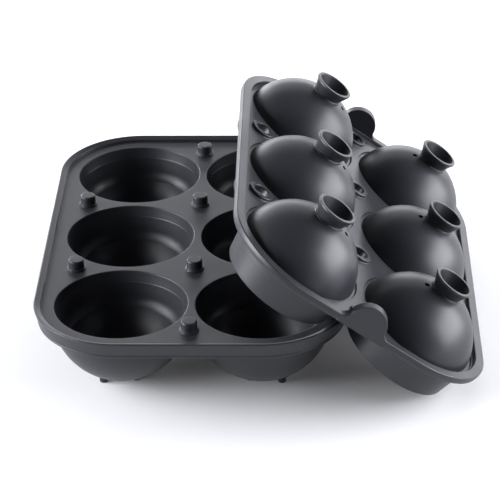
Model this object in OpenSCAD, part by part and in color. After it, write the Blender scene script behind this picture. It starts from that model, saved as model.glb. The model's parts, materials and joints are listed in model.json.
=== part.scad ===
// Two-part silicone mould for six ice balls, shown as it stands on the bench:
// the tray on its feet, and the lid taken off and leaning over the tray's right rim.
// Frame: Z is up, the floor is z = 0, the origin is on the floor under the middle of the whole object,
// X runs across the tray to the right, Y runs along the tray to the rear.

/* [Ice balls] */
// Diameter of each ice ball
ball_d = 50; // [44:1:56]
// Depth of the ball's centre below the top of the deck
ball_depth = 5.4; // [4:0.1:7]
// Land between neighbouring openings across the tray
web_across = 3.1; // [2.6:0.1:6]
// Land between neighbouring openings along the tray
web_along = 3.4; // [2.6:0.1:6]

/* [Tray] */
// Thickness of the deck
deck_t = 2.4; // [1.8:0.1:3.4]
// Wall at the bottom of each cup
cup_wall = 2.5; // [1.8:0.1:3.5]
// Gap between the outsides of neighbouring cups
cup_gap = 0.3; // [0.2:0.1:0.8]
// Flat land from the openings to the rim along the long sides
side_land = 5.6; // [4:0.1:9]
// Flat land from the openings to the rim at the two ends
end_land = 6; // [4:0.1:9]
// Width of the raised rim
rim_w = 3.1; // [2.2:0.1:4]
// Height of the rim above the deck
rim_h = 2.6; // [2:0.1:4]
// How far the rim's outer wall hangs below the top of the deck
rim_drop = 5.1; // [3:0.1:6]
// How far the rim's outer wall draws in at its lower edge
rim_draft = 1.8; // [0.2:0.1:1.9]
// Radius on the rim's two top edges
rim_round = 0.6; // [0.3:0.1:1]
// Depth of the fine step in each opening and on each skirt
collar_depth = 5; // [3:0.5:8]
// Width of that fine step
collar_step = 0.2; // [0.1:0.05:0.5]

/* [Feet] */
// Diameter of a foot
foot_d = 3.4; // [2.5:0.1:5]
// Height of the cups' lowest point above the floor
foot_h = 1.3; // [0.8:0.1:3]
// Outer feet: distance from the cup's axis towards the tray's side
foot_outer_x = 8.2; // [6:0.2:11]
// Outer feet: distance from the cup's axis along the tray
foot_outer_y = 6.6; // [5:0.2:11]
// Inner feet: distance from the cup's axis towards the tray's middle
foot_inner_x = 5.4; // [4:0.2:9]
// Inner feet: distance from the cup's axis along the tray
foot_inner_y = 4.6; // [3.6:0.2:9]

/* [Pegs and sockets] */
// Diameter of a locating peg
peg_d = 6.8; // [5:0.1:8]
// Height of a locating peg above the deck
peg_h = 4.7; // [3:0.1:6]
// Chamfer on a peg's top edge
peg_chamfer = 0.6; // [0.3:0.1:1]
// Width of the low collar round a peg's foot
peg_collar_w = 0.6; // [0.2:0.1:0.7]
// Height of that collar
peg_collar_h = 0.8; // [0.4:0.1:1.2]
// Distance from the rim's inner wall to a peg's axis
peg_inset = 12.3; // [11:0.1:14]
// Radial clearance between a peg and its socket
peg_clear = 0.8; // [0.3:0.1:1]
// Wall of a socket's ring
socket_wall = 1.5; // [1.2:0.1:2.2]
// Height of a socket's ring above the lid's plate
socket_h = 1.3; // [0.8:0.1:2]

/* [Lid] */
// Thickness of the lid's plate
plate_t = 1.6; // [1.4:0.1:2.4]
// Width of the lid's raised rim
lid_rim_w = 4.6; // [3.6:0.1:5.4]
// Height of the lid's rim above the plate's underside
lid_rim_h = 3.3; // [2.6:0.1:4.5]
// Height of the drawn-in band at the foot of the lid's rim
lid_step_h = 1.2; // [0.6:0.1:1.6]
// Depth of that drawn-in band
lid_step_in = 0.4; // [0.2:0.1:0.8]
// Gap between the lid's edge and the tray's rim when the lid is on
lid_clear = 0.25; // [0.2:0.05:1]
// Extra radius on the lid's corners over the tray's inner corners
lid_corner_ease = 2.2; // [0:0.1:3]
// Wall of a dome
dome_wall = 2.2; // [1.8:0.1:3]
// Width of the groove round a dome's foot
groove_w = 1.5; // [0.8:0.1:1.6]
// Depth of the groove round a dome's foot
groove_deep = 0.8; // [0.4:0.1:1]
// How far the skirts reach below the plate
skirt_len = 15; // [11:0.5:18]
// Draft of the skirts' outer walls, in degrees
skirt_draft = 11; // [6:0.5:14]
// Wall of a skirt at its lower edge
skirt_wall = 1.5; // [1.2:0.1:2.2]
// Radial clearance between a skirt and its opening
plug_clear = 0.3; // [0.2:0.05:0.6]
// Gap between a skirt's lower edge and the ledge it sits on when the lid is on
seat_gap = 0.3; // [0.2:0.05:0.6]

/* [Funnels and vents] */
// Diameter of the filling throat
throat_d = 8.4; // [7:0.1:9.4]
// Diameter of the ring at a funnel's foot
foot_ring_d = 14; // [12:0.1:15]
// Flat land round that ring on the dome
foot_land = 0.3; // [0.2:0.1:0.6]
// Height of the ring at a funnel's foot
foot_ring_h = 0.6; // [0.4:0.1:1]
// Diameter of a funnel's neck
neck_d = 13; // [11:0.1:13.4]
// Outer diameter of a funnel's lip
lip_d = 17.4; // [16:0.2:21]
// Step under a funnel's lip
lip_step = 0.2; // [0.1:0.05:0.4]
// Height of the upright band of a funnel's lip
lip_h = 0.9; // [0.5:0.1:1.5]
// Wall of a funnel's lip
lip_wall = 1.3; // [1:0.1:2]
// Height of a funnel above the dome
funnel_h = 6.2; // [5:0.1:9]
// Straight length of the throat above the funnel's foot
throat_len = 1.6; // [1:0.1:3]
// Diameter of a vent hole
vent_d = 2.2; // [1.5:0.1:3]
// Gap between the funnel's seat and a vent hole
vent_gap = 0.9; // [0.4:0.1:3]
// How far a vent hole is turned towards the lid's front, in degrees
vent_turn = 12; // [0:1:40]

/* [Tabs] */
// Width of a lifting tab
tab_w = 16.6; // [15:0.2:17.6]
// Height of a lifting tab above the lid's rim
tab_h = 10; // [9:0.5:11]
// Thickness of a lifting tab
tab_t = 4.2; // [3:0.1:4.6]
// Radius of the hollow corners at a tab's foot
tab_fillet = 3.5; // [2.5:0.1:5]

/* [Leaning lid] */
// Gap kept between the leaning lid and what it leans on
lean_gap = 0.3; // [0.2:0.05:0.6]
// Shift of the leaning lid towards the tray's front
lean_shift = 7; // [0:1:20]

/* [Hidden] */
$fn = 96;
past = 1; // how far a cutter runs past the face that it cuts
ink = "#3b3c40"; // charcoal grey silicone

// Ice ball and the plug that closes round its upper half
ball_r = ball_d / 2;
function ball_r_at(depth) = sqrt(ball_r * ball_r - pow(depth - ball_depth, 2));
draft = tan(skirt_draft);
skirt_low_r = ball_r_at(skirt_len) + skirt_wall;
skirt_top_r = skirt_low_r + skirt_len * draft;
ledge_depth = skirt_len + seat_gap;
function cavity_r_at(depth) = skirt_top_r + plug_clear - depth * draft;
opening_r = cavity_r_at(0) + collar_step;

// Places of the six balls
pitch_x = 2 * opening_r + web_across;
pitch_y = 2 * opening_r + web_along;
SIDES = ["left", "right"];
ROWS = ["front", "middle", "rear"];
PLACES = [for (row = [0:2]) for (side = [0:1]) [side, row]];
function place_name(p) = str(ROWS[p[1]], "_", SIDES[p[0]]);
function outward(p) = 2 * p[0] - 1;
function place_at(p) = [outward(p) * pitch_x / 2, (p[1] - 1) * pitch_y, 0];

// Tray
deck_z = foot_h + cup_wall + ball_r + ball_depth;
deck_low = deck_z - deck_t;
ball_z = deck_z - ball_depth;
tray_w = pitch_x + 2 * (opening_r + side_land + rim_w);
tray_l = 2 * pitch_y + 2 * (opening_r + end_land + rim_w);
tray_corner_r = opening_r + side_land + rim_w;
inner_w = tray_w - 2 * rim_w;
inner_l = tray_l - 2 * rim_w;
cup_r = (min(pitch_x, pitch_y) - cup_gap) / 2;
cup_h = deck_low - foot_h;
cap_h = min(cup_h, cup_r);
cap_r = (cup_r * cup_r + cap_h * cap_h) / (2 * cap_h);

// Pegs: two ends and two between the rows on the centre line, two along each side
peg_x = inner_w / 2 - peg_inset;
peg_y = inner_l / 2 - peg_inset;
PEGS = concat(
    [for (y = [-peg_y, -pitch_y / 2, pitch_y / 2, peg_y]) [0, y]],
    [for (x = [-peg_x, peg_x]) for (y = [-pitch_y / 2, pitch_y / 2]) [x, y]]
);
socket_r = peg_d / 2 + peg_clear;

// Lid, in its own frame: the plate's underside is z = 0
lid_w = inner_w - 2 * lid_clear;
lid_l = inner_l - 2 * lid_clear;
lid_corner_r = tray_corner_r - rim_w - lid_clear + lid_corner_ease;
dome_r = ball_r + dome_wall;
dome_foot_r = sqrt(dome_r * dome_r - pow(plate_t + ball_depth, 2));
throat_r = throat_d / 2;
seat_r = foot_ring_d / 2 + foot_land;
seat_z = sqrt(dome_r * dome_r - seat_r * seat_r) - ball_depth;
vent_at = seat_r + vent_gap + vent_d / 2;

// Leaning pose: the left skirts stand on the deck and the right skirts on the floor,
// so the lean follows from the deck's height; the right skirts then touch the rim's lower edge
lean = asin(deck_z / pitch_x);
lid_z = lean_gap + sin(lean) * (pitch_x / 2 + skirt_low_r) + cos(lean) * skirt_len;
edge_x = tray_w / 2 - rim_draft;
edge_dz = deck_z - rim_drop - lid_z;
reach = pitch_x / 2 - lean_gap - skirt_top_r + (sin(lean) - draft * cos(lean)) * edge_dz;
lid_x = edge_x - reach / (cos(lean) + draft * sin(lean));

// Middle of the whole object, from the tray's left and rear sides and the lid's right and front sides
home_x = (lid_x + cos(lean) * lid_w / 2 + sin(lean) * lid_rim_h - tray_w / 2) / 2;
home_y = (tray_l / 2 - max(tray_l / 2, lid_l / 2 + lean_shift)) / 2;

// Filled rectangle with round corners
module round_rectangle(w, l, r) {
    square([w, l - 2 * r], center = true);
    square([w - 2 * r, l], center = true);
    for (sx = [-1, 1]) for (sy = [-1, 1])
        translate([sx * (w / 2 - r), sy * (l / 2 - r)]) circle(r);
}

// Carries a profile round a rectangle with round corners;
// the profile's x = 0 lies on the outline, and its inside is at negative x
module carry_round(w, l, r) {
    for (turn = [0, 180]) rotate(turn) {
        translate([w / 2, l / 2 - r, 0]) rotate([90, 0, 0]) linear_extrude(l - 2 * r) children();
        translate([w / 2 - r, l / 2 - r, 0]) rotate_extrude(angle = 90) translate([r, 0]) children();
        rotate(90) {
            translate([l / 2, w / 2 - r, 0]) rotate([90, 0, 0]) linear_extrude(w - 2 * r) children();
            translate([l / 2 - r, w / 2 - r, 0]) rotate_extrude(angle = 90) translate([r, 0]) children();
        }
    }
}

// Section of the tray's rim: drawn in at its foot, with two rounded top edges
module rim_section() {
    polygon([
        [-rim_w, -rim_drop], [-rim_draft, -rim_drop], [0, rim_h - rim_round], [-rim_w, rim_h - rim_round]
    ]);
    translate([rim_round - rim_w, rim_h - 2 * rim_round]) square([rim_w - 2 * rim_round, 2 * rim_round]);
    for (x = [-rim_round, rim_round - rim_w]) translate([x, rim_h - rim_round]) circle(rim_round);
}

// Puts a piece of the tray in its place round the origin
module on_tray() translate([-home_x, -home_y, 0]) children();

// Flat deck with six tapered openings, inside its raised rim
module tray_deck() color(ink) on_tray() {
    difference() {
        translate([0, 0, deck_low]) linear_extrude(deck_t)
            round_rectangle(tray_w - rim_w, tray_l - rim_w, tray_corner_r - rim_w / 2);
        for (p = PLACES) translate(place_at(p) + [0, 0, deck_low - past])
            cylinder(
                h = deck_t + 2 * past,
                r1 = cavity_r_at(deck_t + past) + collar_step,
                r2 = cavity_r_at(-past) + collar_step
            );
    }
    translate([0, 0, deck_z]) carry_round(tray_w, tray_l, tray_corner_r) rim_section();
}

// Section of a cup's outside: a round bowl under a short straight collar
module cup_outside() {
    intersection() {
        translate([0, foot_h + cap_r]) circle(cap_r);
        translate([0, foot_h]) square([cup_r, cap_h]);
    }
    if (cup_h > cap_h) translate([0, foot_h + cap_h]) square([cup_r, cup_h - cap_h]);
}

// Section of the space in a cup: the lower ball, the ledge, the tapered seat and its fine step
module cup_inside() {
    ledge_z = deck_z - ledge_depth;
    step_z = deck_z - collar_depth;
    top = deck_low + past;
    intersection() {
        translate([0, ball_z]) circle(ball_r);
        translate([0, ball_z - ball_r]) square([ball_r, ledge_z - ball_z + ball_r]);
    }
    polygon([
        [0, ledge_z], [cavity_r_at(ledge_depth), ledge_z], [cavity_r_at(collar_depth), step_z],
        [cavity_r_at(collar_depth) + collar_step, step_z],
        [cavity_r_at(deck_z - top) + collar_step, top], [0, top]
    ]);
}

// One cup of the tray with its four moulded feet
module cup(p) color(ink) on_tray() translate(place_at(p)) difference() {
    union() {
        rotate_extrude() cup_outside();
        for (y = [-1, 1]) {
            translate([outward(p) * foot_outer_x, y * foot_outer_y, 0]) cylinder(h = ball_z, d = foot_d);
            translate([-outward(p) * foot_inner_x, y * foot_inner_y, 0]) cylinder(h = ball_z, d = foot_d);
        }
    }
    rotate_extrude() cup_inside();
}

// Eight pegs that find the lid's sockets, each with a low collar at its foot
module locating_pegs() color(ink) on_tray() for (at = PEGS) translate([at[0], at[1], deck_z])
    rotate_extrude() polygon([
        [0, 0], [peg_d / 2 + peg_collar_w, 0], [peg_d / 2 + peg_collar_w, peg_collar_h], [peg_d / 2, peg_collar_h],
        [peg_d / 2, peg_h - peg_chamfer], [peg_d / 2 - peg_chamfer, peg_h], [0, peg_h]
    ]);

// Puts a piece of the lid where the leaning lid is
module on_lid() on_tray() translate([lid_x, -lean_shift, lid_z]) rotate([0, lean, 0]) children();

// Section of the lid's rim, with a drawn-in band at its foot
module lid_rim_section() {
    translate([-lid_rim_w, 0]) square([lid_rim_w - lid_step_in, lid_rim_h]);
    translate([-lid_rim_w, lid_step_h]) square([lid_rim_w, lid_rim_h - lid_step_h]);
}

// Plate of the lid with its raised rim, the grooves round the domes and the peg holes
module lid_plate() color(ink) on_lid() difference() {
    union() {
        linear_extrude(plate_t)
            round_rectangle(lid_w - lid_rim_w, lid_l - lid_rim_w, lid_corner_r - lid_rim_w / 2);
        carry_round(lid_w, lid_l, lid_corner_r) lid_rim_section();
    }
    for (p = PLACES) translate(place_at(p)) {
        translate([0, 0, -ball_depth]) sphere(ball_r);
        translate([0, 0, plate_t - groove_deep])
            rotate_extrude() translate([dome_foot_r, 0]) square([groove_w, groove_deep + past]);
    }
    for (at = PEGS) translate([at[0], at[1], -past]) cylinder(h = plate_t + 2 * past, r = socket_r);
}

// Skirt under the plate: plugs into the cup and forms the ball's middle zone;
// its fine step meets the one in the cup
module skirt(p) color(ink) on_lid() translate(place_at(p)) rotate_extrude() difference() {
    step_r = skirt_top_r - collar_depth * draft;
    polygon([
        [0, 0], [skirt_top_r + collar_step, 0], [step_r + collar_step, -collar_depth], [step_r, -collar_depth],
        [skirt_low_r, -skirt_len], [0, -skirt_len]
    ]);
    translate([0, -ball_depth]) circle(ball_r);
}

// Dome over the plate with its filling throat and its vent hole
module dome(p) color(ink) on_lid() translate(place_at(p)) difference() {
    rotate_extrude() difference() {
        intersection() {
            translate([0, -ball_depth]) circle(dome_r);
            translate([throat_r, plate_t]) square([dome_r, seat_z - plate_t]);
        }
        translate([0, -ball_depth]) circle(ball_r);
    }
    translate([0, 0, -ball_depth]) rotate([0, 0, outward(p) * vent_turn])
        rotate([0, -outward(p) * asin(vent_at / dome_r), 0])
        translate([0, 0, ball_r - past]) cylinder(h = dome_wall + 2 * past, d = vent_d);
}

// Flared filling funnel on the flat seat at a dome's top
module funnel(p) color(ink) on_lid() translate(place_at(p) + [0, 0, seat_z]) rotate_extrude() polygon([
    [throat_r, 0], [foot_ring_d / 2, 0], [foot_ring_d / 2, foot_ring_h], [neck_d / 2, foot_ring_h],
    [lip_d / 2 - lip_step, funnel_h - lip_h], [lip_d / 2, funnel_h - lip_h], [lip_d / 2, funnel_h],
    [lip_d / 2 - lip_wall, funnel_h], [throat_r, throat_len]
]);

// Eight raised rings round the peg holes
module peg_sockets() color(ink) on_lid() for (at = PEGS) translate([at[0], at[1], plate_t])
    rotate_extrude() translate([socket_r, 0]) square([socket_wall, socket_h]);

// Outline of a lifting tab: a round top that runs into hollow corners at its foot
module tab_outline() {
    r = tab_w / 2;
    top_y = tab_h - r;
    foot_x = sqrt(pow(r + tab_fillet, 2) - pow(max(0, tab_fillet - top_y), 2));
    difference() {
        polygon([[-foot_x, 0], [foot_x, 0], [foot_x, tab_fillet], [0, top_y], [-foot_x, tab_fillet]]);
        for (s = [-1, 1]) translate([s * foot_x, tab_fillet]) circle(tab_fillet);
    }
    intersection() {
        translate([0, top_y]) circle(r);
        translate([-r, 0]) square([tab_w, tab_h]);
    }
}

// Lifting tab standing on the rim at one end of the lid
module tab(end) color(ink) on_lid()
    translate([0, end * (lid_l - tab_t) / 2 + tab_t / 2, lid_rim_h]) rotate([90, 0, 0])
        linear_extrude(tab_t) tab_outline();

tray_deck();
locating_pegs();
lid_plate();
peg_sockets();
tab(-1);  // front_tab
tab(1);  // rear_tab
for (p = PLACES) {
    cup(p);
    skirt(p);
    dome(p);
    funnel(p);
}
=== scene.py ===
# %% [markdown]
# An ice ball mould in charcoal silicone
#
# The object is two soft mouldings: a tray of round cups, and a lid of domes that has been taken off
# and leans over the tray's right edge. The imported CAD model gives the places, and the main sizes
# are the same as in it. This lesson dresses it: each plain solid is replaced by a surface with the
# rounded edges, fine steps and moulded skin of the real thing. Sizes of the object are in
# millimetres and in lower case. Values that only steer how it is drawn, and lists of places, are in
# capitals.

# %% Load the frame
import json
import math

import bmesh
import bpy
import numpy as np
from mathutils import Matrix, Vector
from mathutils.geometry import delaunay_2d_cdt


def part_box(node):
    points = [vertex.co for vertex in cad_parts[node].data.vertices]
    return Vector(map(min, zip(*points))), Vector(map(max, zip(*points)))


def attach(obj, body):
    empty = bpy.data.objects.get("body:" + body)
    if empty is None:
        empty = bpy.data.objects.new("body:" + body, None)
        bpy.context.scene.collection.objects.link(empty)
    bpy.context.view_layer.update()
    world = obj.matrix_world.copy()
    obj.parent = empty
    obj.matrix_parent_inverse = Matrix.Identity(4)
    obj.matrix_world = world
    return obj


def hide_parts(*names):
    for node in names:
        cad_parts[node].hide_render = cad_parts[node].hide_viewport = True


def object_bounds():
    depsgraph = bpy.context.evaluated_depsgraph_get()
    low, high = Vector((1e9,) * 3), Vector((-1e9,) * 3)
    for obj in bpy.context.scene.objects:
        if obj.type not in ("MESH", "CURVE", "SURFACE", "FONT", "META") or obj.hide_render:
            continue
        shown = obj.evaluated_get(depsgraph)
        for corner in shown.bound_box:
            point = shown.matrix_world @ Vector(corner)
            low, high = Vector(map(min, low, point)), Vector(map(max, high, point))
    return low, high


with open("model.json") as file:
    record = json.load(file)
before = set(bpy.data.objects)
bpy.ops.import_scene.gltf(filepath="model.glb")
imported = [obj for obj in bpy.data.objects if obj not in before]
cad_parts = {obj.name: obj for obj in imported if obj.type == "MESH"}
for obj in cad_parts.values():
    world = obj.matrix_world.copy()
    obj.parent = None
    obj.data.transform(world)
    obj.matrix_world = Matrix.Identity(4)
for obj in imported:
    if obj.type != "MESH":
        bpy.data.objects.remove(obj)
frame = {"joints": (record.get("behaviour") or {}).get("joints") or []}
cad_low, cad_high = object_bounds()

MM = 0.001
print("CAD box in mm:", [round((high - low) / MM, 1) for low, high in zip(cad_low, cad_high)])

# %% [markdown]
# Reading the frame
#
# Places come from the CAD nodes, so nothing is fitted by eye. The lid's own frame has its origin in
# the middle of the plate's underside. Its upright axis is the axis of the joint that lifts it, and
# its middle is found from the peg sockets, because those rings lie evenly about it.

# %% Places of the tray and the lid
def node_box(node):
    """Lowest and highest corner of a CAD node, in millimetres."""
    low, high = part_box(node)
    return np.array(low) / MM, np.array(high) / MM


def node_middle(node):
    """Middle of a CAD node's box, in millimetres."""
    low, high = node_box(node)
    return (low + high) / 2


ROWS = {"front": -1, "middle": 0, "rear": 1}
SIDES = {"left": -1, "right": 1}
plate_t = 1.6
socket_h = 1.3
deck_z = node_box("locating_pegs")[0][2]
tray_low, tray_high = node_box("tray_deck")
tray_w, tray_l = (tray_high - tray_low)[:2]
tray_origin = np.append((tray_low + tray_high)[:2] / 2, 0)
pitch_x, pitch_y = (node_middle("cup_middle_right") - node_middle("cup_front_left"))[:2]
PLACES = {
    f"{row}_{side}": (out * pitch_x / 2, along * pitch_y)
    for row, along in ROWS.items() for side, out in SIDES.items()
}
lid_up = np.array(frame["joints"][0]["axis"], float)
lid_along = np.array([0.0, 1.0, 0.0])
lid_across = np.cross(lid_along, lid_up)
lid_origin = node_middle("peg_sockets") - (plate_t + socket_h / 2) * lid_up
print("tray", round(tray_w, 2), round(tray_l, 2), "deck at", round(deck_z, 2), "pitch", pitch_x, pitch_y)
print("lid leans", round(math.degrees(math.asin(lid_up[0])), 2), "degrees, origin", lid_origin.round(2))


def on_tray(points):
    """A point of the tray's own frame: the spot on the floor under the tray's middle, plus x, y and z."""
    return tray_origin + points


def on_lid(points):
    """A point of the lid's own frame: the origin plus x across, y along and z up the lid."""
    return lid_origin + points @ np.stack([lid_across, lid_along, lid_up])


# %% [markdown]
# Carrying a profile round a loop
#
# Nearly everything on this object is turned or swept: a profile, drawn as distances out and
# heights, is carried round a closed loop. Round a point it makes a cup or a dome, and round a
# rectangle with round corners it makes a rim. Bevelling a plain cylinder could do the same, but a
# drawn profile keeps each radius where it belongs.

# %% Loops
AROUND = 160
CORNER_STEPS = 40


def turn_loop(count=AROUND, centre=(0.0, 0.0)):
    """A loop of no size: every base point is the centre, and the normals go once round."""
    angle = np.arange(count) * 2 * np.pi / count
    outward = np.stack([np.cos(angle), np.sin(angle)], 1)
    return np.broadcast_to(np.array(centre, float), outward.shape), outward


def rectangle_loop(width, length, radius):
    """Rectangle with round corners: each corner's centre, plus the radius along a normal that turns through
    90 degrees there."""
    turn = np.linspace(0, np.pi / 2, CORNER_STEPS + 1)
    angle = (turn[None] + np.arange(4)[:, None] * np.pi / 2).ravel()
    corner = np.repeat(np.array([[1, 1], [-1, 1], [-1, -1], [1, -1]]), len(turn), 0)
    outward = np.stack([np.cos(angle), np.sin(angle)], 1)
    base = corner * (np.array([width, length]) / 2 - radius) + radius * outward
    return base, outward


def loop_points(loop, out):
    """The loop's points, moved out along their normals."""
    base, outward = loop
    return base + out * outward


print("points in a turned loop:", len(turn_loop()[0]))

# %% Profiles with round corners
ARC_STEPS = 7
# The most of its shorter side that a corner's arc takes up
CORNER_SHARE = 0.45
# Distance from an arc's end to the point beyond it, and the most that it takes of the room there
GUARD = 0.07
GUARD_SHARE = 0.1


def arc(centre_y, radius, start_deg, end_deg, steps):
    """Points on a circle about (0, centre_y), from one angle to another, as corners with no rounding."""
    angle = np.radians(np.linspace(start_deg, end_deg, steps + 1))
    return np.stack([radius * np.cos(angle), centre_y + radius * np.sin(angle), 0 * angle], 1)


def rounded(*parts, closed=False):
    """Profile from corners (out, up, radius) and arcs. Each corner with a radius becomes the arc that
    touches both of its sides, or a smaller one where a side is short. One more point lies just beyond
    each end of the arc, so that shading stays flat on flat sides."""
    corners = np.concatenate([np.atleast_2d(np.asarray(part, float)) for part in parts])
    points = []
    for k, (x, y, radius) in enumerate(corners):
        inner = closed or 0 < k < len(corners) - 1
        if radius == 0 or not inner:
            points.append(np.array([[x, y]]))
            continue
        here = np.array([x, y])
        back = corners[k - 1, :2] - here
        ahead = corners[(k + 1) % len(corners), :2] - here
        reach = CORNER_SHARE * min(np.linalg.norm(back), np.linalg.norm(ahead))
        back /= np.linalg.norm(back)
        ahead /= np.linalg.norm(ahead)
        half = np.arccos(np.clip(back @ ahead, -1, 1)) / 2
        touch = min(radius / np.tan(half), reach)
        centre = here + (back + ahead) / np.linalg.norm(back + ahead) * touch / np.cos(half)
        start = here + back * touch - centre
        sweep = np.pi - 2 * half
        side = np.sign(start[1] * back[0] - start[0] * back[1])
        angle = side * np.linspace(0, sweep, ARC_STEPS)
        turned = np.stack([
            start[0] * np.cos(angle) - start[1] * np.sin(angle),
            start[0] * np.sin(angle) + start[1] * np.cos(angle)
        ], 1) + centre
        guard = min(GUARD, GUARD_SHARE * reach)
        points += [here + back * (touch + guard), turned, here + ahead * (touch + guard)]
    return np.concatenate([np.atleast_2d(p) for p in points])


print("points in a rounded corner:", len(rounded((0, 0, 0), (1, 0, 0.2), (1, 1, 0))) - 2)

# %% From a loop and a profile to a sheet
def carry(loop, profile, closed=False):
    """Sheet of quads: point (i, j) is the loop's point j, moved out by profile distance i, at height i."""
    base, outward = loop
    flat = base[None] + profile[:, None, :1] * outward[None]
    height = np.broadcast_to(profile[:, None, 1:], flat.shape[:2] + (1,))
    points = np.concatenate([flat, height], 2).reshape(-1, 3)
    rows, columns = flat.shape[:2]
    i, j = np.meshgrid(np.arange(rows if closed else rows - 1), np.arange(columns), indexing="ij")
    i_next = (i + 1) % rows
    j_next = (j + 1) % columns
    quads = np.stack([
        i * columns + j,
        i * columns + j_next,
        i_next * columns + j_next,
        i_next * columns + j
    ], -1)
    return points, quads.reshape(-1, 4)


plain_tube = rounded((1, 0, 0), (1, 1, 0))
print("faces in a plain tube:", len(carry(turn_loop(), plain_tube)[1]))

# %% [markdown]
# Flat sheets with holes
#
# The deck and the lid's plate are flat, with round holes. Their faces are filled between the
# outline and the holes by a Delaunay triangulation, which Blender has ready. On a flat sheet long
# triangles do no harm to the shading.

# %% Flat sheets
FILL_INSIDE = 1
FILL_EPSILON = 1e-7


def flat_sheet(outline, holes, height):
    """Triangles between an outline and round holes (centre, radius, points), at one height: a triangle stays
    where its middle lies outside every hole."""
    rings = [outline] + [loop_points(turn_loop(count, centre), radius) for centre, radius, count in holes]
    flat = np.concatenate(rings)
    first = np.cumsum([0] + [len(ring) for ring in rings])
    edges = [
        np.stack([np.arange(len(ring)), (np.arange(len(ring)) + 1) % len(ring)], 1) + start
        for ring, start in zip(rings, first)
    ]
    vectors = [Vector(p) for p in flat.tolist()]
    found = delaunay_2d_cdt(vectors, np.concatenate(edges).tolist(), [], FILL_INSIDE, FILL_EPSILON)
    flat = np.array([tuple(p) for p in found[0]])
    faces = np.array([tuple(f) for f in found[2]])
    middle = flat[faces].mean(1)
    keep = np.ones(len(faces), bool)
    for centre, radius, count in holes:
        keep &= np.linalg.norm(middle - np.array(centre), axis=1) > radius * np.cos(np.pi / count)
    return np.column_stack([flat, np.full(len(flat), height)]), faces[keep]


plain_disc = loop_points(turn_loop(), 1)
print("faces in a plain disc:", len(flat_sheet(plain_disc, [], 0)[1]))

# %% [markdown]
# From sheets to a piece
#
# A piece of the mould is one object at the origin, put together from sheets whose edges meet.
# Merging the points that lie on each other closes its seams and poles. Each piece is then hung on the body
# of the CAD model that carries it, and the plain solid that it replaces is hidden.

# %% Making and dressing a piece
MERGE = 0.002 * MM
SHARP_ANGLE = math.radians(38)


def finish_mesh(mesh):
    """Closes seams and poles, turns the faces outwards and shades them smooth, with sharp corners kept."""
    edit = bmesh.new()
    edit.from_mesh(mesh)
    bmesh.ops.remove_doubles(edit, verts=edit.verts, dist=MERGE)
    bmesh.ops.dissolve_degenerate(edit, edges=edit.edges, dist=MERGE)
    bmesh.ops.recalc_face_normals(edit, faces=edit.faces)
    open_edges = sum(1 for edge in edit.edges if len(edge.link_faces) != 2)
    edit.to_mesh(mesh)
    edit.free()
    mesh.shade_smooth()
    mesh.set_sharp_from_angle(angle=SHARP_ANGLE)
    return open_edges


def make_object(name, sheets, place):
    """Object at the origin from sheets of (points in millimetres, faces), with its points put on the tray or
    the lid by place."""
    first = np.cumsum([0] + [len(points) for points, faces in sheets])
    points = place(np.concatenate([points for points, faces in sheets]))
    faces = [face for (p, f), start in zip(sheets, first) for face in (f + start).tolist()]
    mesh = bpy.data.meshes.new(name)
    mesh.from_pydata((points * MM).tolist(), [], faces)
    mesh.update()
    thing = bpy.data.objects.new(name, mesh)
    bpy.context.scene.collection.objects.link(thing)
    return thing


def dress(thing, material, body, nodes):
    """Gives a piece its finish, hangs it on the body that carries it, and hides the CAD nodes that it
    replaces.
    """
    open_edges = finish_mesh(thing.data)
    thing.data.materials.clear()
    thing.data.materials.append(material)
    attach(thing, body)
    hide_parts(*nodes)
    print(thing.name, len(thing.data.polygons), "faces,", open_edges, "open edges")
    return thing


# %% [markdown]
# Moulded silicone
#
# The mould is matte liquid silicone rubber, coloured charcoal in the mass. It has no grain of its
# own: what the eye sees is the steel tool's fine spark-eroded skin, which spreads each highlight,
# and a faint unevenness of the gloss where the rubber released from the tool. One flat grey would
# look like plastic, so two noise textures draw these: wide clouds for the colour and the gloss, and
# a fine grain for the skin. The real grain is finer than a tenth of a millimetre, too fine for the
# picture, so it is drawn coarser. Silicone's index of refraction is about 1.41, raised a little
# here to match the object's sheen.

# %% Colours and nodes
def linear(hex_colour):
    """sRGB hex to linear light, by the sRGB curve, with alpha 1."""
    shares = np.array([int(hex_colour[k:k + 2], 16) for k in (1, 3, 5)]) / 255
    low = shares / 12.92
    high = ((shares + 0.055) / 1.055) ** 2.4
    return (*np.where(shares <= 0.04045, low, high).tolist(), 1.0)


def add_node(tree, kind, settings=None, inputs=None, links=None):
    """Adds one node: its own settings, the values of its inputs, and links from other nodes' outputs."""
    made = tree.nodes.new(kind)
    for key, value in (settings or {}).items():
        setattr(made, key, value)
    for key, value in (inputs or {}).items():
        made.inputs[key].default_value = value
    for key, (source, output) in (links or {}).items():
        tree.links.new(source.outputs[output], made.inputs[key])
    return made


def new_material(name):
    """An empty node material with its output node."""
    material = bpy.data.materials.new(name)
    material.use_nodes = True
    material.node_tree.nodes.clear()
    output = add_node(material.node_tree, "ShaderNodeOutputMaterial")
    return material, material.node_tree, output


# %% Silicone
SILICONE_IOR = 1.43
SILICONE_HEX = "#25262a"
SILICONE_LIGHT_HEX = "#292a2e"
ROUGHNESS = (0.37, 0.43)
CLOUD_MM = 14.0
CLOUD_RANGE = (0.3, 0.7)
SKIN_GRAIN_MM = 0.35
SKIN_DEPTH_MM = 0.04
SKIN_STRENGTH = 0.12


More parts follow.
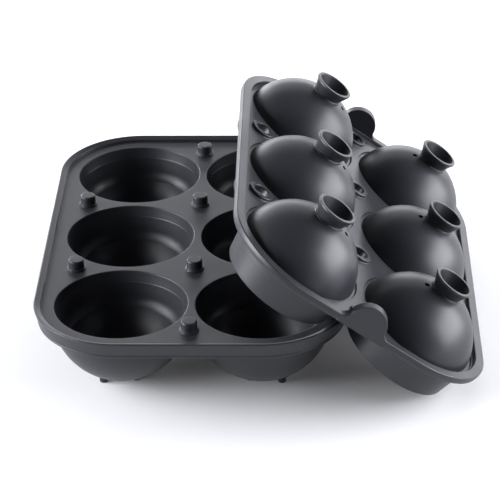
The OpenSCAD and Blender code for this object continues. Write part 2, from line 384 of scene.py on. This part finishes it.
def moulded_silicone():
    """Charcoal silicone: one colour with faint clouds, roughness that follows them, and a fine skin."""
    material, tree, output = new_material("moulded_silicone")
    where = add_node(tree, "ShaderNodeTexCoord")
    clouds = add_node(
        tree, "ShaderNodeTexNoise",
        inputs={"Scale": 1 / (CLOUD_MM * MM), "Detail": 3.0, "Roughness": 0.6},
        links={"Vector": (where, "Object")}
    )
    grain = add_node(
        tree, "ShaderNodeTexNoise",
        inputs={"Scale": 1 / (SKIN_GRAIN_MM * MM), "Detail": 2.0, "Roughness": 0.5},
        links={"Vector": (where, "Object")}
    )
    colour = add_node(
        tree, "ShaderNodeMix", settings={"data_type": "RGBA"},
        inputs={"A": linear(SILICONE_HEX), "B": linear(SILICONE_LIGHT_HEX)},
        links={"Factor": (clouds, "Fac")}
    )
    gloss = add_node(
        tree, "ShaderNodeMapRange",
        inputs={
            "From Min": CLOUD_RANGE[0],
            "From Max": CLOUD_RANGE[1],
            "To Min": ROUGHNESS[0],
            "To Max": ROUGHNESS[1]
        },
        links={"Value": (clouds, "Fac")}
    )
    skin = add_node(
        tree, "ShaderNodeBump",
        inputs={"Strength": SKIN_STRENGTH, "Distance": SKIN_DEPTH_MM * MM},
        links={"Height": (grain, "Fac")}
    )
    shader = add_node(
        tree, "ShaderNodeBsdfPrincipled",
        inputs={"IOR": SILICONE_IOR},
        links={"Base Color": (colour, "Result"), "Roughness": (gloss, "Result"), "Normal": (skin, "Normal")}
    )
    tree.links.new(shader.outputs["BSDF"], output.inputs["Surface"])
    return material


silicone = moulded_silicone()
print("material:", silicone.name, len(silicone.node_tree.nodes), "nodes")

# %% [markdown]
# The ball and the plug
#
# One ball, one draft and a few clearances shape most of the mould. The lid's skirts are cones that
# drop into cone-shaped seats in the tray, and both close round the same ball.

# %% Shared sizes of the ball, the skirts and the seats
ball_r = 25.0
ball_depth = 5.4
skirt_len = 15.0
skirt_wall = 1.5
draft = math.tan(math.radians(11))
seat_gap = 0.3
plug_clear = 0.3
collar_depth = 5.0
collar_step = 0.2
deck_t = 2.4
ball_z = deck_z - ball_depth
ledge_depth = skirt_len + seat_gap
skirt_low_r = math.sqrt(ball_r ** 2 - (skirt_len - ball_depth) ** 2) + skirt_wall
skirt_top_r = skirt_low_r + skirt_len * draft


def seat_r(depth):
    """Radius of a seat's wall at a depth below the deck: the skirt's cone plus the clearance."""
    return skirt_top_r + plug_clear - depth * draft


opening_r = seat_r(0) + collar_step
print("opening", round(2 * opening_r, 2), "mm across, skirt", round(2 * skirt_top_r, 2), "mm")

# %% [markdown]
# Tray deck and rim
#
# The deck is a flat sheet with six openings. Each opening has a small rounded edge, and at the
# outside the deck meets a rim. The rim's top slopes inwards: in the photograph it is light at the
# left, dark at the rear and edge-on at the front. Its outer wall draws in downwards and ends in a
# fine bead. A bevelled box could make a plain rim, but a swept profile draws slope, wall and bead
# as one skin.

# %% Profiles of the rim and the openings
side_land = 5.6
rim_w = 3.1
rim_h = 2.6
rim_drop = 5.1
rim_draft = 1.8
rim_round = 0.5
rim_slope = 1.4
rim_lean = 0.1
rim_root = 0.25
bead_h = 0.8
bead_out = 0.22
bead_start = 0.044
bead_round = 0.15
under_lean = 0.3
under_round = 0.3
opening_round = 0.45
# Flat strips that the profiles bring along, where the flat sheets meet them
LIP_LAND = 1.0
DECK_LAND = 1.6
tray_corner_r = opening_r + side_land + rim_w
deck_low = deck_z - deck_t
rim_low = deck_z - rim_drop
lip_r = opening_r + LIP_LAND
deck_out = -rim_w - DECK_LAND

rim_profile = rounded(
    (deck_out, deck_z, 0),
    (-rim_w - rim_lean, deck_z, rim_root),
    (-rim_w, deck_z + rim_h - rim_slope, rim_round),
    (0, deck_z + rim_h, rim_round),
    (-rim_draft + bead_start, rim_low + bead_h + bead_out, bead_round),
    (-rim_draft + bead_out, rim_low + bead_h, bead_round),
    (-rim_draft, rim_low, under_round),
    (-rim_w + under_lean, rim_low, under_round),
    (-rim_w, deck_low, under_round),
    (deck_out, deck_low, 0)
)
opening_profile = rounded(
    (lip_r, deck_z, 0),
    (opening_r, deck_z, opening_round),
    (seat_r(deck_t) + collar_step, deck_low, 0),
    (lip_r, deck_low, 0)
)
print("points in the rim's profile:", len(rim_profile), "and in an opening's:", len(opening_profile))

# %% Make the deck
tray_loop = rectangle_loop(tray_w, tray_l, tray_corner_r)
deck_edge = loop_points(tray_loop, deck_out)
deck_holes = [(at, lip_r, AROUND) for at in PLACES.values()]
deck_sheets = [carry(tray_loop, rim_profile)]
deck_sheets += [carry(turn_loop(centre=at), opening_profile) for at in PLACES.values()]
deck_sheets += [flat_sheet(deck_edge, deck_holes, height) for height in (deck_z, deck_low)]
dress(make_object("deck_and_rim", deck_sheets, on_tray), silicone, "tray", ["tray_deck"])

# %% [markdown]
# Cups
#
# A cup is one turned shell: the tapered seat with its fine step, the ledge for the lid's skirt, the
# lower ball, and round the outside a bowl. In the photograph a soft band of light lies over each
# ledge, so the seat's wall runs into the ledge in a wide hollow. Four short feet with a soft root
# stand under the bowl. A sphere with a thickness could be a start, but the seat, step and ledge
# need a drawn profile.

# %% Profile of a cup
foot_h = 1.3
cup_gap = 0.3
hollow_h = 4.5
ledge_round = 0.2
step_run = 0.5
step_round = 0.4
BALL_STEPS = 44
HOLLOW_STEPS = 12
BOWL_STEPS = 45
# Degrees by which the ball's arc stops short of a rounded edge
LEDGE_STOP = 1.5
cup_r = (min(pitch_x, pitch_y) - cup_gap) / 2
ledge_z = deck_z - ledge_depth
step_z = deck_z - collar_depth
ledge_deg = math.degrees(math.asin((ledge_z - ball_z) / ball_r))


def ledge_hollow():
    """Arc from the ledge's inner edge up to the seat's wall, which it leaves smoothly: each point lies
    R sin(angle) down the wall and R (1 - cos(angle)) off it, with R set so that the arc meets that edge."""
    wall = math.atan(draft)
    down = np.array([-math.sin(wall), -math.cos(wall)])
    off = np.array([-math.cos(wall), math.sin(wall)])
    start = np.array([seat_r(ledge_depth - hollow_h), ledge_z + hollow_h])
    reach = np.array([ball_r * math.cos(math.radians(ledge_deg)), ledge_z]) - start
    along = reach @ down
    aside = reach @ off
    radius = (along ** 2 + aside ** 2) / (2 * aside)
    angle = np.linspace(2 * math.atan2(aside, along), 0, HOLLOW_STEPS + 1)[:, None]
    points = start + radius * (np.sin(angle) * down + (1 - np.cos(angle)) * off)
    edge = np.zeros(HOLLOW_STEPS + 1)
    edge[0] = ledge_round
    print("hollow over the ledge: radius", round(radius, 2), "mm")
    return np.column_stack([points, edge])


cup_profile = rounded(
    arc(ball_z, ball_r, -90, ledge_deg - LEDGE_STOP, BALL_STEPS),
    ledge_hollow(),
    (seat_r(collar_depth), step_z, step_round),
    (seat_r(collar_depth) + collar_step, step_z + step_run, step_round),
    (seat_r(deck_t) + collar_step, deck_low, 0),
    (cup_r, deck_low, 0),
    arc(foot_h + cup_r, cup_r, 0, -90, BOWL_STEPS)
)

# %% Make the cups with their feet
foot_d = 3.4
foot_round = 0.5
foot_root = 0.9
foot_sink = 0.6
foot_outer = (8.2, 6.6)
foot_inner = (-5.4, 4.6)
FOOT_AROUND = 40


def foot_profile(reach):
    """A foot: flat end with a rounded edge, straight wall, and a root that flares out where the bowl begins,
    which at this reach from the middle is the bowl's circle."""
    bowl_z = foot_h + cup_r - math.sqrt(cup_r ** 2 - reach ** 2)
    radius = foot_d / 2
    return rounded(
        (0, 0, 0),
        (radius, 0, foot_round),
        (radius, bowl_z, foot_root),
        (radius + 2 * foot_root, bowl_z + foot_sink, 0),
        (0, bowl_z + 2 * foot_sink, 0)
    )


def cup_sheets(at):
    """The shell and its four feet, which stand mirrored about the tray's long centre line."""
    out = math.copysign(1, at[0])
    sheets = [carry(turn_loop(centre=at), cup_profile)]
    for foot_x, foot_y in (foot_outer, foot_inner):
        profile = foot_profile(math.hypot(foot_x, foot_y))
        for end in (-1, 1):
            centre = (at[0] + out * foot_x, at[1] + end * foot_y)
            sheets.append(carry(turn_loop(FOOT_AROUND, centre), profile))
    return sheets


for name, at in PLACES.items():
    dress(make_object("bowl_" + name, cup_sheets(at), on_tray), silicone, "tray", ["cup_" + name])

# %% [markdown]
# Locating pegs
#
# Eight pegs stand on the deck. Each has a low collar at its foot and a softly rounded top edge.
# Bevelled cylinders would come close, but the small hollow between peg and collar needs a profile.

# %% Make the pegs
peg_d = 6.8
peg_h = 4.7
peg_inset = 12.3
peg_round = 0.7
peg_draft = 0.08
peg_root = 0.25
peg_collar_w = 0.6
peg_collar_h = 0.8
peg_collar_round = 0.3
ROOT_RISE = 0.05
PEG_SINK = 0.3
PEG_AROUND = 72
peg_x = tray_w / 2 - rim_w - peg_inset
peg_y = tray_l / 2 - rim_w - peg_inset
PEGS = [(0, y) for y in (-peg_y, -pitch_y / 2, pitch_y / 2, peg_y)]
PEGS += [(x, y) for x in (-peg_x, peg_x) for y in (-pitch_y / 2, pitch_y / 2)]
peg_r = peg_d / 2
collar_r = peg_r + peg_collar_w
peg_profile = rounded(
    (0, deck_z - PEG_SINK, 0),
    (collar_r + PEG_SINK, deck_z - PEG_SINK, 0),
    (collar_r + PEG_SINK, deck_z, 0),
    (collar_r, deck_z + ROOT_RISE, peg_root),
    (collar_r, deck_z + peg_collar_h, peg_collar_round),
    (peg_r, deck_z + peg_collar_h + ROOT_RISE, peg_root),
    (peg_r - peg_draft, deck_z + peg_h, peg_round),
    (0, deck_z + peg_h, 0)
)
peg_sheets = [carry(turn_loop(PEG_AROUND, at), peg_profile) for at in PEGS]
dress(make_object("pegs", peg_sheets, on_tray), silicone, "tray", ["locating_pegs"])

# %% [markdown]
# Lid plate
#
# The plate is thin, with a raised rim whose inner side slopes down to it. A groove runs round the
# foot of every dome, and eight holes take the pegs. As on the tray, profiles make what is round and
# flat sheets fill the rest. The rim's outer face lies a hair behind the tabs' faces: two faces in
# one plane would shade each other black.

# %% Profiles of the lid's rim and holes
lid_clear = 0.25
lid_corner_ease = 2.2
lid_rim_w = 4.6
lid_rim_h = 3.3
lid_rim_round = 0.5
lid_rim_root = 0.3
slope_foot = 0.25
slope_top = 0.35
lid_step_h = 1.2
lid_step_in = 0.4
lid_step_round = 0.3
line_h = 0.3
line_deep = 0.1
line_foot = 0.06
line_round = 0.05
dome_wall = 2.2
groove_w = 1.5
groove_deep = 0.8
groove_lean = 0.1
groove_round = 0.2
groove_root = 0.3
peg_clear = 0.8
FACE_IN = 0.04
PLATE_LAND = 0.55
GROOVE_LAND = 0.3
HOLE_LAND = 0.5
lid_w = tray_w - 2 * (rim_w + lid_clear)
lid_l = tray_l - 2 * (rim_w + lid_clear)
lid_corner_r = tray_corner_r - rim_w - lid_clear + lid_corner_ease
dome_r = ball_r + dome_wall
dome_foot_r = math.sqrt(dome_r ** 2 - (plate_t + ball_depth) ** 2)
groove_r = dome_foot_r + groove_w
groove_z = plate_t - groove_deep
socket_r = peg_r + peg_clear
plate_out = -lid_rim_w - PLATE_LAND


def ball_r_at(height):
    """Radius of the ball's surface at a height above the plate's underside."""
    return math.sqrt(ball_r ** 2 - (height + ball_depth) ** 2)


lid_rim_profile = rounded(
    (plate_out, plate_t, 0),
    (-lid_rim_w - slope_foot, plate_t, lid_rim_root),
    (-lid_rim_w + slope_top, lid_rim_h, lid_rim_round),
    (-FACE_IN, lid_rim_h, lid_rim_round),
    (-FACE_IN, lid_step_h + line_h, line_round),
    (-line_deep, lid_step_h + line_h / 2, line_round),
    (-line_foot, lid_step_h, line_round),
    (-lid_step_in, 0, lid_step_round),
    (plate_out, 0, 0)
)
plate_opening = rounded(
    (groove_r + GROOVE_LAND, plate_t, 0),
    (groove_r, plate_t, groove_round),
    (groove_r - groove_lean, groove_z, groove_root),
    (dome_foot_r, groove_z, 0),
    (dome_foot_r, plate_t, 0),
    (ball_r_at(plate_t), plate_t, 0),
    (ball_r_at(0), 0, 0),
    (groove_r + GROOVE_LAND, 0, 0)
)
plate_hole = rounded(
    (socket_r + HOLE_LAND, plate_t, 0),
    (socket_r, plate_t, 0),
    (socket_r, 0, 0),
    (socket_r + HOLE_LAND, 0, 0)
)
print("lid", round(lid_w, 2), "x", round(lid_l, 2), "mm, domes", round(2 * dome_foot_r, 2), "mm at the foot")

# %% Make the plate
lid_loop = rectangle_loop(lid_w, lid_l, lid_corner_r)
plate_edge = loop_points(lid_loop, plate_out)
plate_holes = [(at, groove_r + GROOVE_LAND, AROUND) for at in PLACES.values()]
plate_holes += [(at, socket_r + HOLE_LAND, PEG_AROUND) for at in PEGS]
plate_sheets = [carry(lid_loop, lid_rim_profile)]
plate_sheets += [carry(turn_loop(centre=at), plate_opening) for at in PLACES.values()]
plate_sheets += [carry(turn_loop(PEG_AROUND, at), plate_hole) for at in PEGS]
plate_sheets += [flat_sheet(plate_edge, plate_holes, height) for height in (plate_t, 0)]
dress(make_object("plate_and_rim", plate_sheets, on_lid), silicone, "lid", ["lid_plate"])

# %% [markdown]
# Peg sockets
#
# A raised ring stands round every peg hole, with rounded edges and a small root. Its bore runs
# smoothly through the plate and is a close fit on a peg, as the small dark holes in the photograph
# show. A torus would be too soft, so the ring is a closed profile with flat sides.

# %% Make the sockets
socket_wall = 1.5
socket_root = 0.4
ring_round = 0.4
ring_draft = 0.1
bore_clear = 0.2
bore_round = 0.2
SOCKET_SINK = 0.2
SOCKET_LAP = 0.05
bore_r = peg_r + bore_clear
ring_r = socket_r + socket_wall
ring_root_r = ring_r + 2 * socket_root
ring_top = plate_t + socket_h
socket_profile = rounded(
    (bore_r, 0, bore_round),
    (bore_r, ring_top, ring_round),
    (ring_r - ring_draft, ring_top, ring_round),
    (ring_r, plate_t + ROOT_RISE, socket_root),
    (ring_root_r, plate_t, 0),
    (ring_root_r, plate_t - SOCKET_SINK, 0),
    (socket_r + SOCKET_LAP, plate_t - SOCKET_SINK, 0),
    (socket_r + SOCKET_LAP, 0, 0),
    closed=True
)
socket_sheets = [carry(turn_loop(PEG_AROUND, at), socket_profile, closed=True) for at in PEGS]
dress(make_object("socket_rings", socket_sheets, on_lid), silicone, "lid", ["peg_sockets"])

# %% [markdown]
# Skirts and domes
#
# Under the plate each skirt is a tapered ring with a fine step that meets the step in its seat.
# Over the plate each dome is a shell between two spheres, so both are turned. The dome's vent is a
# small round hole, cut square to the surface: a Boolean with a thin rod is the plain way to put a
# hole into a curved shell.

# %% Profile of a skirt
skirt_round = 0.5
skirt_step_run = 0.1
skirt_step_round = 0.12
SKIRT_STEPS = 14
SKIRT_TOP_STEPS = 6
PLATE_STOP = 1.0
skirt_step_r = skirt_top_r - draft * collar_depth


def height_deg(height, radius):
    """Angle, seen from the ball's middle, at which a sphere has this height above the plate's underside."""
    return math.degrees(math.asin((height + ball_depth) / radius))


skirt_profile = rounded(
    (ball_r_at(0), 0, 0),
    (skirt_top_r + collar_step, 0, 0),
    (skirt_step_r + collar_step, skirt_step_run - collar_depth, skirt_step_round),
    (skirt_step_r, -collar_depth, skirt_step_round),
    (skirt_low_r, -skirt_len, skirt_round),
    (skirt_low_r - skirt_wall, -skirt_len, skirt_round),
    arc(-ball_depth, ball_r, height_deg(-skirt_len, ball_r) + LEDGE_STOP, 0, SKIRT_STEPS),
    arc(-ball_depth, ball_r, LEDGE_STOP, height_deg(0, ball_r) - PLATE_STOP, SKIRT_TOP_STEPS),
    closed=True
)
print("points in a skirt's profile:", len(skirt_profile))

# %% Profile of a dome
throat_r = 4.2
throat_round = 0.3
foot_ring_d = 14.0
foot_land = 0.3
DOME_INNER_STEPS = 40
DOME_OUTER_STEPS = 48
LAND_STOP = 0.5
DOME_LAP = 0.02
DOME_TUCK = 0.5
top_land_r = foot_ring_d / 2 + foot_land
seat_z = math.sqrt(dome_r ** 2 - top_land_r ** 2) - ball_depth
throat_deg = math.degrees(math.acos(throat_r / ball_r))
top_land_deg = math.degrees(math.acos(top_land_r / dome_r))
dome_profile = rounded(
    arc(-ball_depth, ball_r, height_deg(plate_t, ball_r), throat_deg - PLATE_STOP, DOME_INNER_STEPS),
    (throat_r, math.sqrt(ball_r ** 2 - throat_r ** 2) - ball_depth, throat_round),
    (throat_r, seat_z, 0),
    (top_land_r, seat_z, 0),
    arc(-ball_depth, dome_r, top_land_deg - LAND_STOP, height_deg(groove_z, dome_r), DOME_OUTER_STEPS),
    (dome_foot_r + DOME_LAP, groove_z, 0),
    (dome_foot_r - DOME_TUCK, groove_z, 0),
    (dome_foot_r - DOME_TUCK, plate_t, 0),
    closed=True
)
print("dome's flat top at", round(seat_z, 2), "mm, points in its profile:", len(dome_profile))

# %% Make the skirts, the domes and their vents
vent_d = 2.2
vent_gap = 0.9
vent_turn = math.radians(12)
VENT_SPARE = 1.0
VENT_AROUND = 32
DOME_AROUND = 192
vent_lean = math.asin((top_land_r + vent_gap + vent_d / 2) / dome_r)


def vent_cutter(at):
    """A short rod along the dome's radius: it leans off the funnel towards the lid's long centre line,
    and is then turned a little towards the lid's front."""
    out = math.copysign(1, at[0])
    lean = Matrix.Rotation(-out * vent_lean, 3, "Y")
    turn = Matrix.Rotation(out * vent_turn, 3, "Z")
    low = ball_r - VENT_SPARE
    high = dome_r + VENT_SPARE
    rod_profile = rounded((0, low, 0), (vent_d / 2, low, 0), (vent_d / 2, high, 0), (0, high, 0))
    points, quads = carry(turn_loop(VENT_AROUND), rod_profile)
    turned = points @ np.array(turn @ lean).T
    return turned + np.array([at[0], at[1], -ball_depth]), quads


def cut(thing, cutter):
    """Takes the cutter's solid out of a piece, and keeps the result as the piece's own mesh."""
    tool = thing.modifiers.new("cut", "BOOLEAN")
    tool.operation = "DIFFERENCE"
    tool.solver = "EXACT"
    tool.object = cutter
    graph = bpy.context.evaluated_depsgraph_get()
    mesh = bpy.data.meshes.new_from_object(thing.evaluated_get(graph))
    old = thing.data
    thing.modifiers.clear()
    thing.data = mesh
    bpy.data.meshes.remove(old)
    bpy.data.objects.remove(cutter)


for name, at in PLACES.items():
    skirt = make_object("plug_" + name, [carry(turn_loop(centre=at), skirt_profile, closed=True)], on_lid)
    dress(skirt, silicone, "lid", ["skirt_" + name])
    dome_sheet = carry(turn_loop(DOME_AROUND, at), dome_profile, closed=True)
    shell = make_object("shell_" + name, [dome_sheet], on_lid)
    finish_mesh(shell.data)
    rod = make_object("vent_rod", [vent_cutter(at)], on_lid)
    finish_mesh(rod.data)
    cut(shell, rod)
    dress(shell, silicone, "lid", ["dome_" + name])

# %% [markdown]
# Funnels
#
# Each funnel is a flared ring on a short neck. A low ring marks its foot, and the lip ends in an
# upright band. Its inside is as steep as its outside and ends in a small floor round the throat, so
# it stays dark. A cone with a thickness would lack the ring and the band, so the whole section is
# drawn and turned.

# %% Make the funnels
foot_ring_h = 0.6
foot_ring_draft = 0.2
foot_ring_round = 0.25
neck_d = 13.0
neck_rise = 0.1
neck_root = 0.3
lip_d = 17.4
lip_h = 0.9
lip_step = 0.2
lip_step_run = 0.1
lip_step_round = 0.15
lip_round = 0.3
lip_wall = 1.3
lip_inner_round = 0.35
funnel_h = 6.2
throat_len = 1.6
mouth_floor = 1.1
mouth_drop = 0.4
mouth_root = 0.5
mouth_edge = 0.2
FUNNEL_AROUND = 120
lip_r_outer = lip_d / 2
lip_z = seat_z + funnel_h - lip_h
mouth_z = seat_z + funnel_h
throat_z = seat_z + throat_len
funnel_profile = rounded(
    (throat_r, seat_z, 0),
    (foot_ring_d / 2 + foot_ring_draft, seat_z, 0),
    (foot_ring_d / 2, seat_z + foot_ring_h, foot_ring_round),
    (neck_d / 2, seat_z + foot_ring_h + neck_rise, neck_root),
    (lip_r_outer - lip_step, lip_z - lip_step_run, lip_step_round),
    (lip_r_outer, lip_z, lip_step_round),
    (lip_r_outer, mouth_z, lip_round),
    (lip_r_outer - lip_wall, mouth_z, lip_inner_round),
    (throat_r + mouth_floor, throat_z - mouth_drop, mouth_root),
    (throat_r, throat_z - 2 * mouth_drop, mouth_edge),
    closed=True
)
for name, at in PLACES.items():
    funnel_sheet = carry(turn_loop(FUNNEL_AROUND, at), funnel_profile, closed=True)
    dress(make_object("spout_" + name, [funnel_sheet], on_lid), silicone, "lid", ["funnel_" + name])

# %% [markdown]
# Lifting tabs
#
# A tab stands on the rim at each short end. Its outline is a round top that runs into two hollow
# corners. The outline could be filled and extruded. As a loop with normals it also takes a rounded
# edge, and flat sheets close its two faces, which run down over the rim's outer face.

# %% Outline of a tab
tab_w = 16.6
tab_h = 10.0
tab_t = 4.2
tab_fillet = 3.5
tab_round = 0.6
tab_lift = 0.1
TAB_LAND = 0.2
FILLET_POINTS = 14
TOP_POINTS = 26
tab_r = tab_w / 2
tab_top = tab_h - tab_r
tab_sink = lid_rim_h - tab_lift


def tab_loop():
    """Loop of points with normals: half of the outline by arcs about the top and the hollow corner, which
    touch where the two centres' line crosses them, then its mirror."""
    foot_x = math.sqrt((tab_r + tab_fillet) ** 2 - (tab_fillet - tab_top) ** 2)
    meet = math.atan2(tab_fillet - tab_top, foot_x)
    corner = np.linspace(-np.pi / 2, -np.pi + meet, FILLET_POINTS)
    top = np.linspace(meet, np.pi / 2, TOP_POINTS)
    corner_out = -np.stack([np.cos(corner), np.sin(corner)], 1)
    top_out = np.stack([np.cos(top), np.sin(top)], 1)
    corner_at = np.array([foot_x, tab_fillet]) - tab_fillet * corner_out
    top_at = np.array([0, tab_top]) + tab_r * top_out
    half_at = np.concatenate([[[foot_x, -tab_sink]], corner_at, top_at[1:]])
    half_out = np.concatenate([[[1, 0]], corner_out, top_out[1:]])
    mirror = np.array([-1, 1])
    base = np.concatenate([half_at, (half_at * mirror)[-2::-1]])
    outward = np.concatenate([half_out, (half_out * mirror)[-2::-1]])
    return base, outward


print("points in a tab's outline:", len(tab_loop()[0]))

# %% Make the tabs
def tab_sheets(end):
    """Rounded edge round the loop and two flat faces; the outline's x and y and the thickness become across,
    up and along the lid."""
    loop = tab_loop()
    land = -tab_round - TAB_LAND
    edge = rounded((land, 0, 0), (0, 0, tab_round), (0, tab_t, tab_round), (land, tab_t, 0))
    inner = loop_points(loop, land)
    sheets = [carry(loop, edge), flat_sheet(inner, [], 0), flat_sheet(inner, [], tab_t)]
    start = end * (lid_l - tab_t) / 2 - tab_t / 2
    return [
        (np.stack([p[:, 0], start + p[:, 2], lid_rim_h + p[:, 1]], 1), faces) for p, faces in sheets
    ]


for end, name in ((-1, "front_tab"), (1, "rear_tab")):
    dress(make_object("lifting_" + name, tab_sheets(end), on_lid), silicone, "lid", [name])

# %% [markdown]
# Camera
#
# The photograph was taken from a little under a metre away with a long lens. The camera's place
# comes from fitting a pinhole camera to the openings, pegs and rims, so the values below are real
# distances and angles.

# %% Camera
IMAGE_PX = 500
FOCAL_PX = 2230.2
SENSOR_MM = 36.0
camera_distance = 972.0
camera_aim_x = 23.41
camera_aim_y = -13.24
camera_turn = math.radians(-1.6616)
camera_rise = math.radians(28.9687)
camera_roll = math.radians(-0.8136)
camera_aim = on_tray(np.array([camera_aim_x, camera_aim_y, deck_z]))
forward = np.array([
    math.sin(camera_turn) * math.cos(camera_rise),
    math.cos(camera_turn) * math.cos(camera_rise),
    -math.sin(camera_rise)
])
level = np.cross(forward, [0, 0, 1])
level /= np.linalg.norm(level)
upright = np.cross(level, forward)
right = math.cos(camera_roll) * level + math.sin(camera_roll) * upright
above = math.cos(camera_roll) * upright - math.sin(camera_roll) * level
camera_data = bpy.data.cameras.new("camera")
camera_data.sensor_width = SENSOR_MM
camera_data.lens = SENSOR_MM * FOCAL_PX / IMAGE_PX
camera = bpy.data.objects.new("camera", camera_data)
bpy.context.scene.collection.objects.link(camera)
camera_place = Matrix(np.stack([right, above, -forward], 1).tolist()).to_4x4()
camera_place.translation = Vector((camera_aim - forward * camera_distance) * MM)
camera.matrix_world = camera_place
bpy.context.scene.camera = camera
print("camera lens", round(camera_data.lens, 1), "mm at", [round(v, 3) for v in camera.location])

# %% [markdown]
# Floor
#
# In the photograph the mould stands on a white sweep. A curved backdrop could be modelled, but only
# the floor shows, so a wide plane does. It is pale and matte and keeps the soft shadow, and for
# rays from the camera it is lifted a little, to white.

# %% Floor
FLOOR_SIZE = 12.0
FLOOR_HEX = "#eeeeee"
FLOOR_LIFT = 0.03


def white_sweep():
    """Pale matte floor; for camera, glossy and transmission rays a little of its own light lifts it to
    white."""
    material, tree, output = new_material("white_sweep")
    path = add_node(tree, "ShaderNodeLightPath")
    seen = add_node(
        tree, "ShaderNodeMath", settings={"operation": "MAXIMUM"},
        links={0: (path, "Is Camera Ray"), 1: (path, "Is Glossy Ray")}
    )
    seen_or_through = add_node(
        tree, "ShaderNodeMath", settings={"operation": "MAXIMUM"},
        links={0: (seen, "Value"), 1: (path, "Is Transmission Ray")}
    )
    lift = add_node(
        tree, "ShaderNodeMath", settings={"operation": "MULTIPLY"},
        inputs={1: FLOOR_LIFT}, links={0: (seen_or_through, "Value")}
    )
    matte = add_node(tree, "ShaderNodeBsdfDiffuse", inputs={"Color": linear(FLOOR_HEX)})
    own = add_node(tree, "ShaderNodeEmission", links={"Strength": (lift, "Value")})
    both = add_node(tree, "ShaderNodeAddShader", links={0: (matte, "BSDF"), 1: (own, "Emission")})
    tree.links.new(both.outputs["Shader"], output.inputs["Surface"])
    return material


edge_at = FLOOR_SIZE / 2
floor_corners = [(x * edge_at, y * edge_at, 0) for x, y in ((-1, -1), (1, -1), (1, 1), (-1, 1))]
floor_mesh = bpy.data.meshes.new("floor")
floor_mesh.from_pydata(floor_corners, [], [(0, 1, 2, 3)])
floor = bpy.data.objects.new("floor", floor_mesh)
bpy.context.scene.collection.objects.link(floor)
floor.data.materials.append(white_sweep())
print("floor", FLOOR_SIZE, "m wide, lift", FLOOR_LIFT)

# %% [markdown]
# Light
#
# The lamps are soft boxes that stand low round the object, as the long highlights low on the domes
# show: a large one at the right, four at the left and two behind, in a faintly blue white. Two small
# lamps with grids in front of them reach over the rim into the left cups. One more panel hangs high
# and is kept out of reflections: it whitens the floor and leaves the domes' tops dark. A bright world
# would fill every hollow with light, so the world is dark. Sizes here are in metres, and the power is
# in watts.

# %% Lamps and world
LAMP_HEX = "#f8f9ff"
object_middle = Vector((cad_low + cad_high) / 2)
left_cups = Vector(on_tray(np.array([-pitch_x / 2, 0, deck_z])) * MM)
GRID = {"reach": 0.5, "spread": 40, "aim": left_cups}
LAMPS = {
    "panel_right": {"turn": -2, "rise": 17, "size": (1.15, 0.75), "power": 36.5},
    "panel_left": {"turn": 195, "rise": 8, "size": (0.75, 0.4), "power": 15.2},
    "panel_front_left": {"turn": 225, "rise": 15, "size": (0.6, 0.5), "power": 0.4},
    "panel_left_high": {"turn": 160, "rise": 24, "size": (0.6, 0.3), "power": 3.0},
    "panel_behind_left": {"turn": 125, "rise": 10, "size": (0.8, 0.4), "power": 5.6},
    "panel_behind": {"turn": 85, "rise": 8, "size": (2.2, 0.35), "power": 11.2},
    "panel_behind_high": {"turn": 85, "rise": 38, "size": (2.0, 0.3), "power": 3.7},
    "grid_left": {"turn": 180, "rise": 24, "size": (0.45, 0.3), "power": 0.42, **GRID},
    "grid_front": {"turn": 210, "rise": 24, "size": (0.3, 0.25), "power": 0.08, **GRID},
    "panel_high": {"turn": 90, "rise": 60, "size": (1.5, 1.2), "power": 4.5, "glossy": False},
}


def make_lamp(name, turn, rise, size, power, reach=1.2, spread=180, glossy=True, aim=object_middle):
    """A rectangular panel that faces its aim from a turn from the x axis and a rise above the floor, in
    degrees, at a reach in metres. A narrow spread acts like a grid."""
    data = bpy.data.lights.new(name, "AREA")
    data.shape = "RECTANGLE"
    data.size, data.size_y = size
    data.energy = power
    data.color = linear(LAMP_HEX)[:3]
    data.spread = math.radians(spread)
    lamp = bpy.data.objects.new(name, data)
    lamp.visible_glossy = glossy
    bpy.context.scene.collection.objects.link(lamp)
    turn_angle = math.radians(turn)
    rise_angle = math.radians(rise)
    away = Vector((
        math.cos(turn_angle) * math.cos(rise_angle),
        math.sin(turn_angle) * math.cos(rise_angle),
        math.sin(rise_angle)
    ))
    facing = away.to_track_quat("Z", "Y").to_matrix().to_4x4()
    lamp.matrix_world = Matrix.Translation(aim + reach * away) @ facing
    return lamp


for name, lamp in LAMPS.items():
    make_lamp(name, **lamp)

world = bpy.data.worlds.new("dark_studio")
world.use_nodes = True
world.node_tree.nodes["Background"].inputs["Strength"].default_value = 0.0
bpy.context.scene.world = world
bpy.context.scene.view_settings.view_transform = "Standard"
print("lamps:", len(LAMPS))
